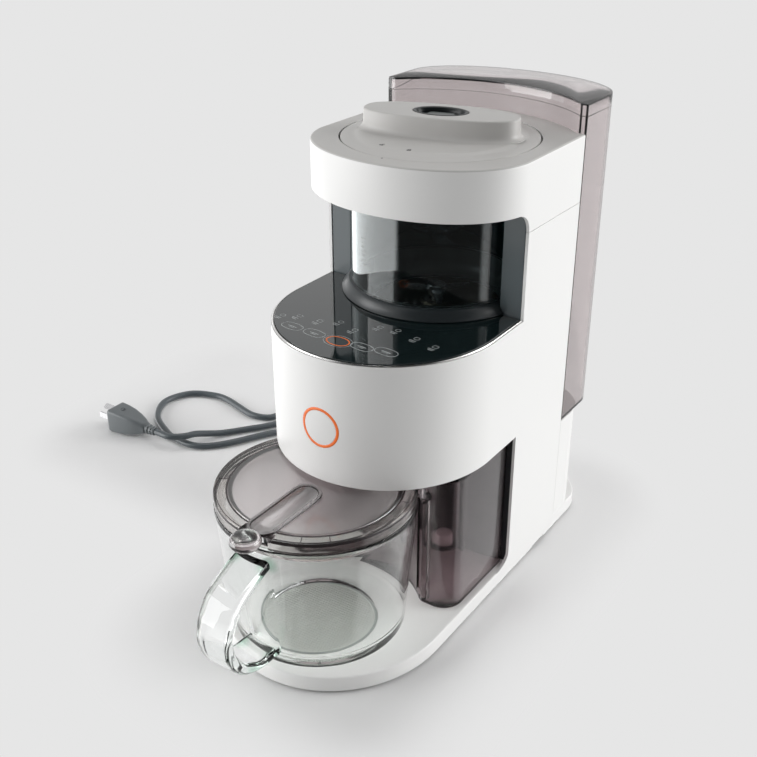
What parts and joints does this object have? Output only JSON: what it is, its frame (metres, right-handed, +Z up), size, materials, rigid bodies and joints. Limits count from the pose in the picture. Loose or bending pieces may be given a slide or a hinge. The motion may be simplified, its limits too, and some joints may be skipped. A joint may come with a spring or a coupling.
{
  "type": "soy milk maker",
  "caption": "Countertop soy milk maker: a glass grinding chamber above a curved drum, a covered glass cup on the base, a waste water box behind it and a lift-off water tank at the back.",
  "frame": {"origin": "middle of the overall box without the cord and plug, on the surface the feet stand on", "axes": "+Z up, -Y towards the cup's handle and the user, +X to the right as seen from the front"},
  "size_m": [0.4968, 0.4996, 0.394],
  "materials": {
    "white_body": "satin white",
    "warm_grey_top": "satin warm grey",
    "dark_back": "glossy, nearly black",
    "panel_black": "mirror-smooth black",
    "silver_trim": "satin silver",
    "orange_ring": "translucent orange light guide",
    "steel": "brushed",
    "clear_glass": "clear",
    "smoke_plastic": "translucent smoke",
    "black_rubber": "matte",
    "grey_plastic": "matte",
    "board_green": "lacquered board",
    "pad_grey": "fine diagonal ribs",
    "cord_grey": "satin",
    "seal_white": "matte"
  },
  "bodies": {
    "machine": {"base_tray": "white_body", "base_pan": "grey_plastic", "cup_pad": "pad_grey", "foot_front_left": "black_rubber", "foot_front_right": "black_rubber", "foot_rear_left": "black_rubber", "foot_rear_right": "black_rubber", "column_shell": "white_body", "bay_wall": "dark_back", "drum_shell": "white_body", "light_ring": "orange_ring", "control_panel": "panel_black", "panel_rim": "silver_trim", "chassis_plate": "grey_plastic", "chamber_backdrop": "dark_back", "chamber_pan": "dark_back", "chamber_glass": "clear_glass", "chamber_foot_ring": "dark_back", "head_shell": "white_body", "head_underplate": "dark_back", "chamber_throat": "seal_white", "motor_case": "steel", "discharge_valve": "grey_plastic", "spout_nozzle": "seal_white", "discharge_pipe": "seal_white", "control_board": "board_green", "power_board": "board_green", "rear_cover": "white_body", "tank_socket": "grey_plastic", "cord_gland": "cord_grey", "water_pump": "grey_plastic", "tank_hose": "grey_plastic", "water_pipe": "grey_plastic", "power_cord": "cord_grey", "plug_body": "cord_grey", "plug_pin_live": "steel", "plug_pin_neutral": "steel", "plug_pin_earth": "steel"},
    "lid_inner": {"inner_lid": "seal_white", "inner_lid_seal": "black_rubber"},
    "lid_outer": {"chamber_lid": "warm_grey_top", "vent_bezel": "dark_back", "vent_insert": "grey_plastic"},
    "rotor": {"motor_rotor": "steel", "blade": "steel"},
    "waste_box": {"waste_box": "smoke_plastic", "waste_box_cover": "smoke_plastic"},
    "tank": {"water_tank": "smoke_plastic", "tank_valve": "grey_plastic"},
    "tank_cover": {"tank_lid": "smoke_plastic"},
    "cup": {"cup_glass": "clear_glass"},
    "cup_cover": {"cup_lid": "smoke_plastic"},
    "cup_lever": {"cup_lid_lever": "smoke_plastic"}
  },
  "joints": [
    {"name": "cup_slide", "type": "slide", "parent": "machine", "child": "cup", "axis": [0, -1, 0], "range_m": [0, 0.3]},
    {"name": "waste_box_slide", "type": "slide", "parent": "machine", "child": "waste_box", "axis": [0, -1, 0], "range_m": [0, 0.18]},
    {"name": "cup_lid_turn", "type": "hinge", "parent": "cup", "child": "cup_cover", "pos_m": [-0.003, -0.09825, 0.1288], "axis": [0, 0, 1], "range_deg": [-30, 30]},
    {"name": "cup_lever_tilt", "type": "hinge", "parent": "cup_cover", "child": "cup_lever", "pos_m": [-0.003, -0.16825, 0.1397], "axis": [1, 0, 0], "range_deg": [0, 12]},
    {"name": "lid_lift", "type": "slide", "parent": "machine", "child": "lid_inner", "axis": [0, 0, 1], "range_m": [0, 0.12]},
    {"name": "lid_turn", "type": "hinge", "parent": "lid_inner", "child": "lid_outer", "pos_m": [0, 0.06775, 0.3653], "axis": [0, 0, 1], "range_deg": [-9, 15]},
    {"name": "rotor_spin", "type": "hinge", "parent": "machine", "child": "rotor", "pos_m": [0, 0.06775, 0.2398], "axis": [0, 0, 1], "continuous": true},
    {"name": "tank_lift", "type": "slide", "parent": "machine", "child": "tank", "axis": [0, 0, 1], "range_m": [0, 0.28]},
    {"name": "tank_lid_lift", "type": "slide", "parent": "tank", "child": "tank_cover", "axis": [0, 0, 1], "range_m": [0, 0.08]}
  ],
  "couplings": [
    {"joint": "waste_box_slide", "follows": "cup_slide", "ratio": 0.6}
  ]
}
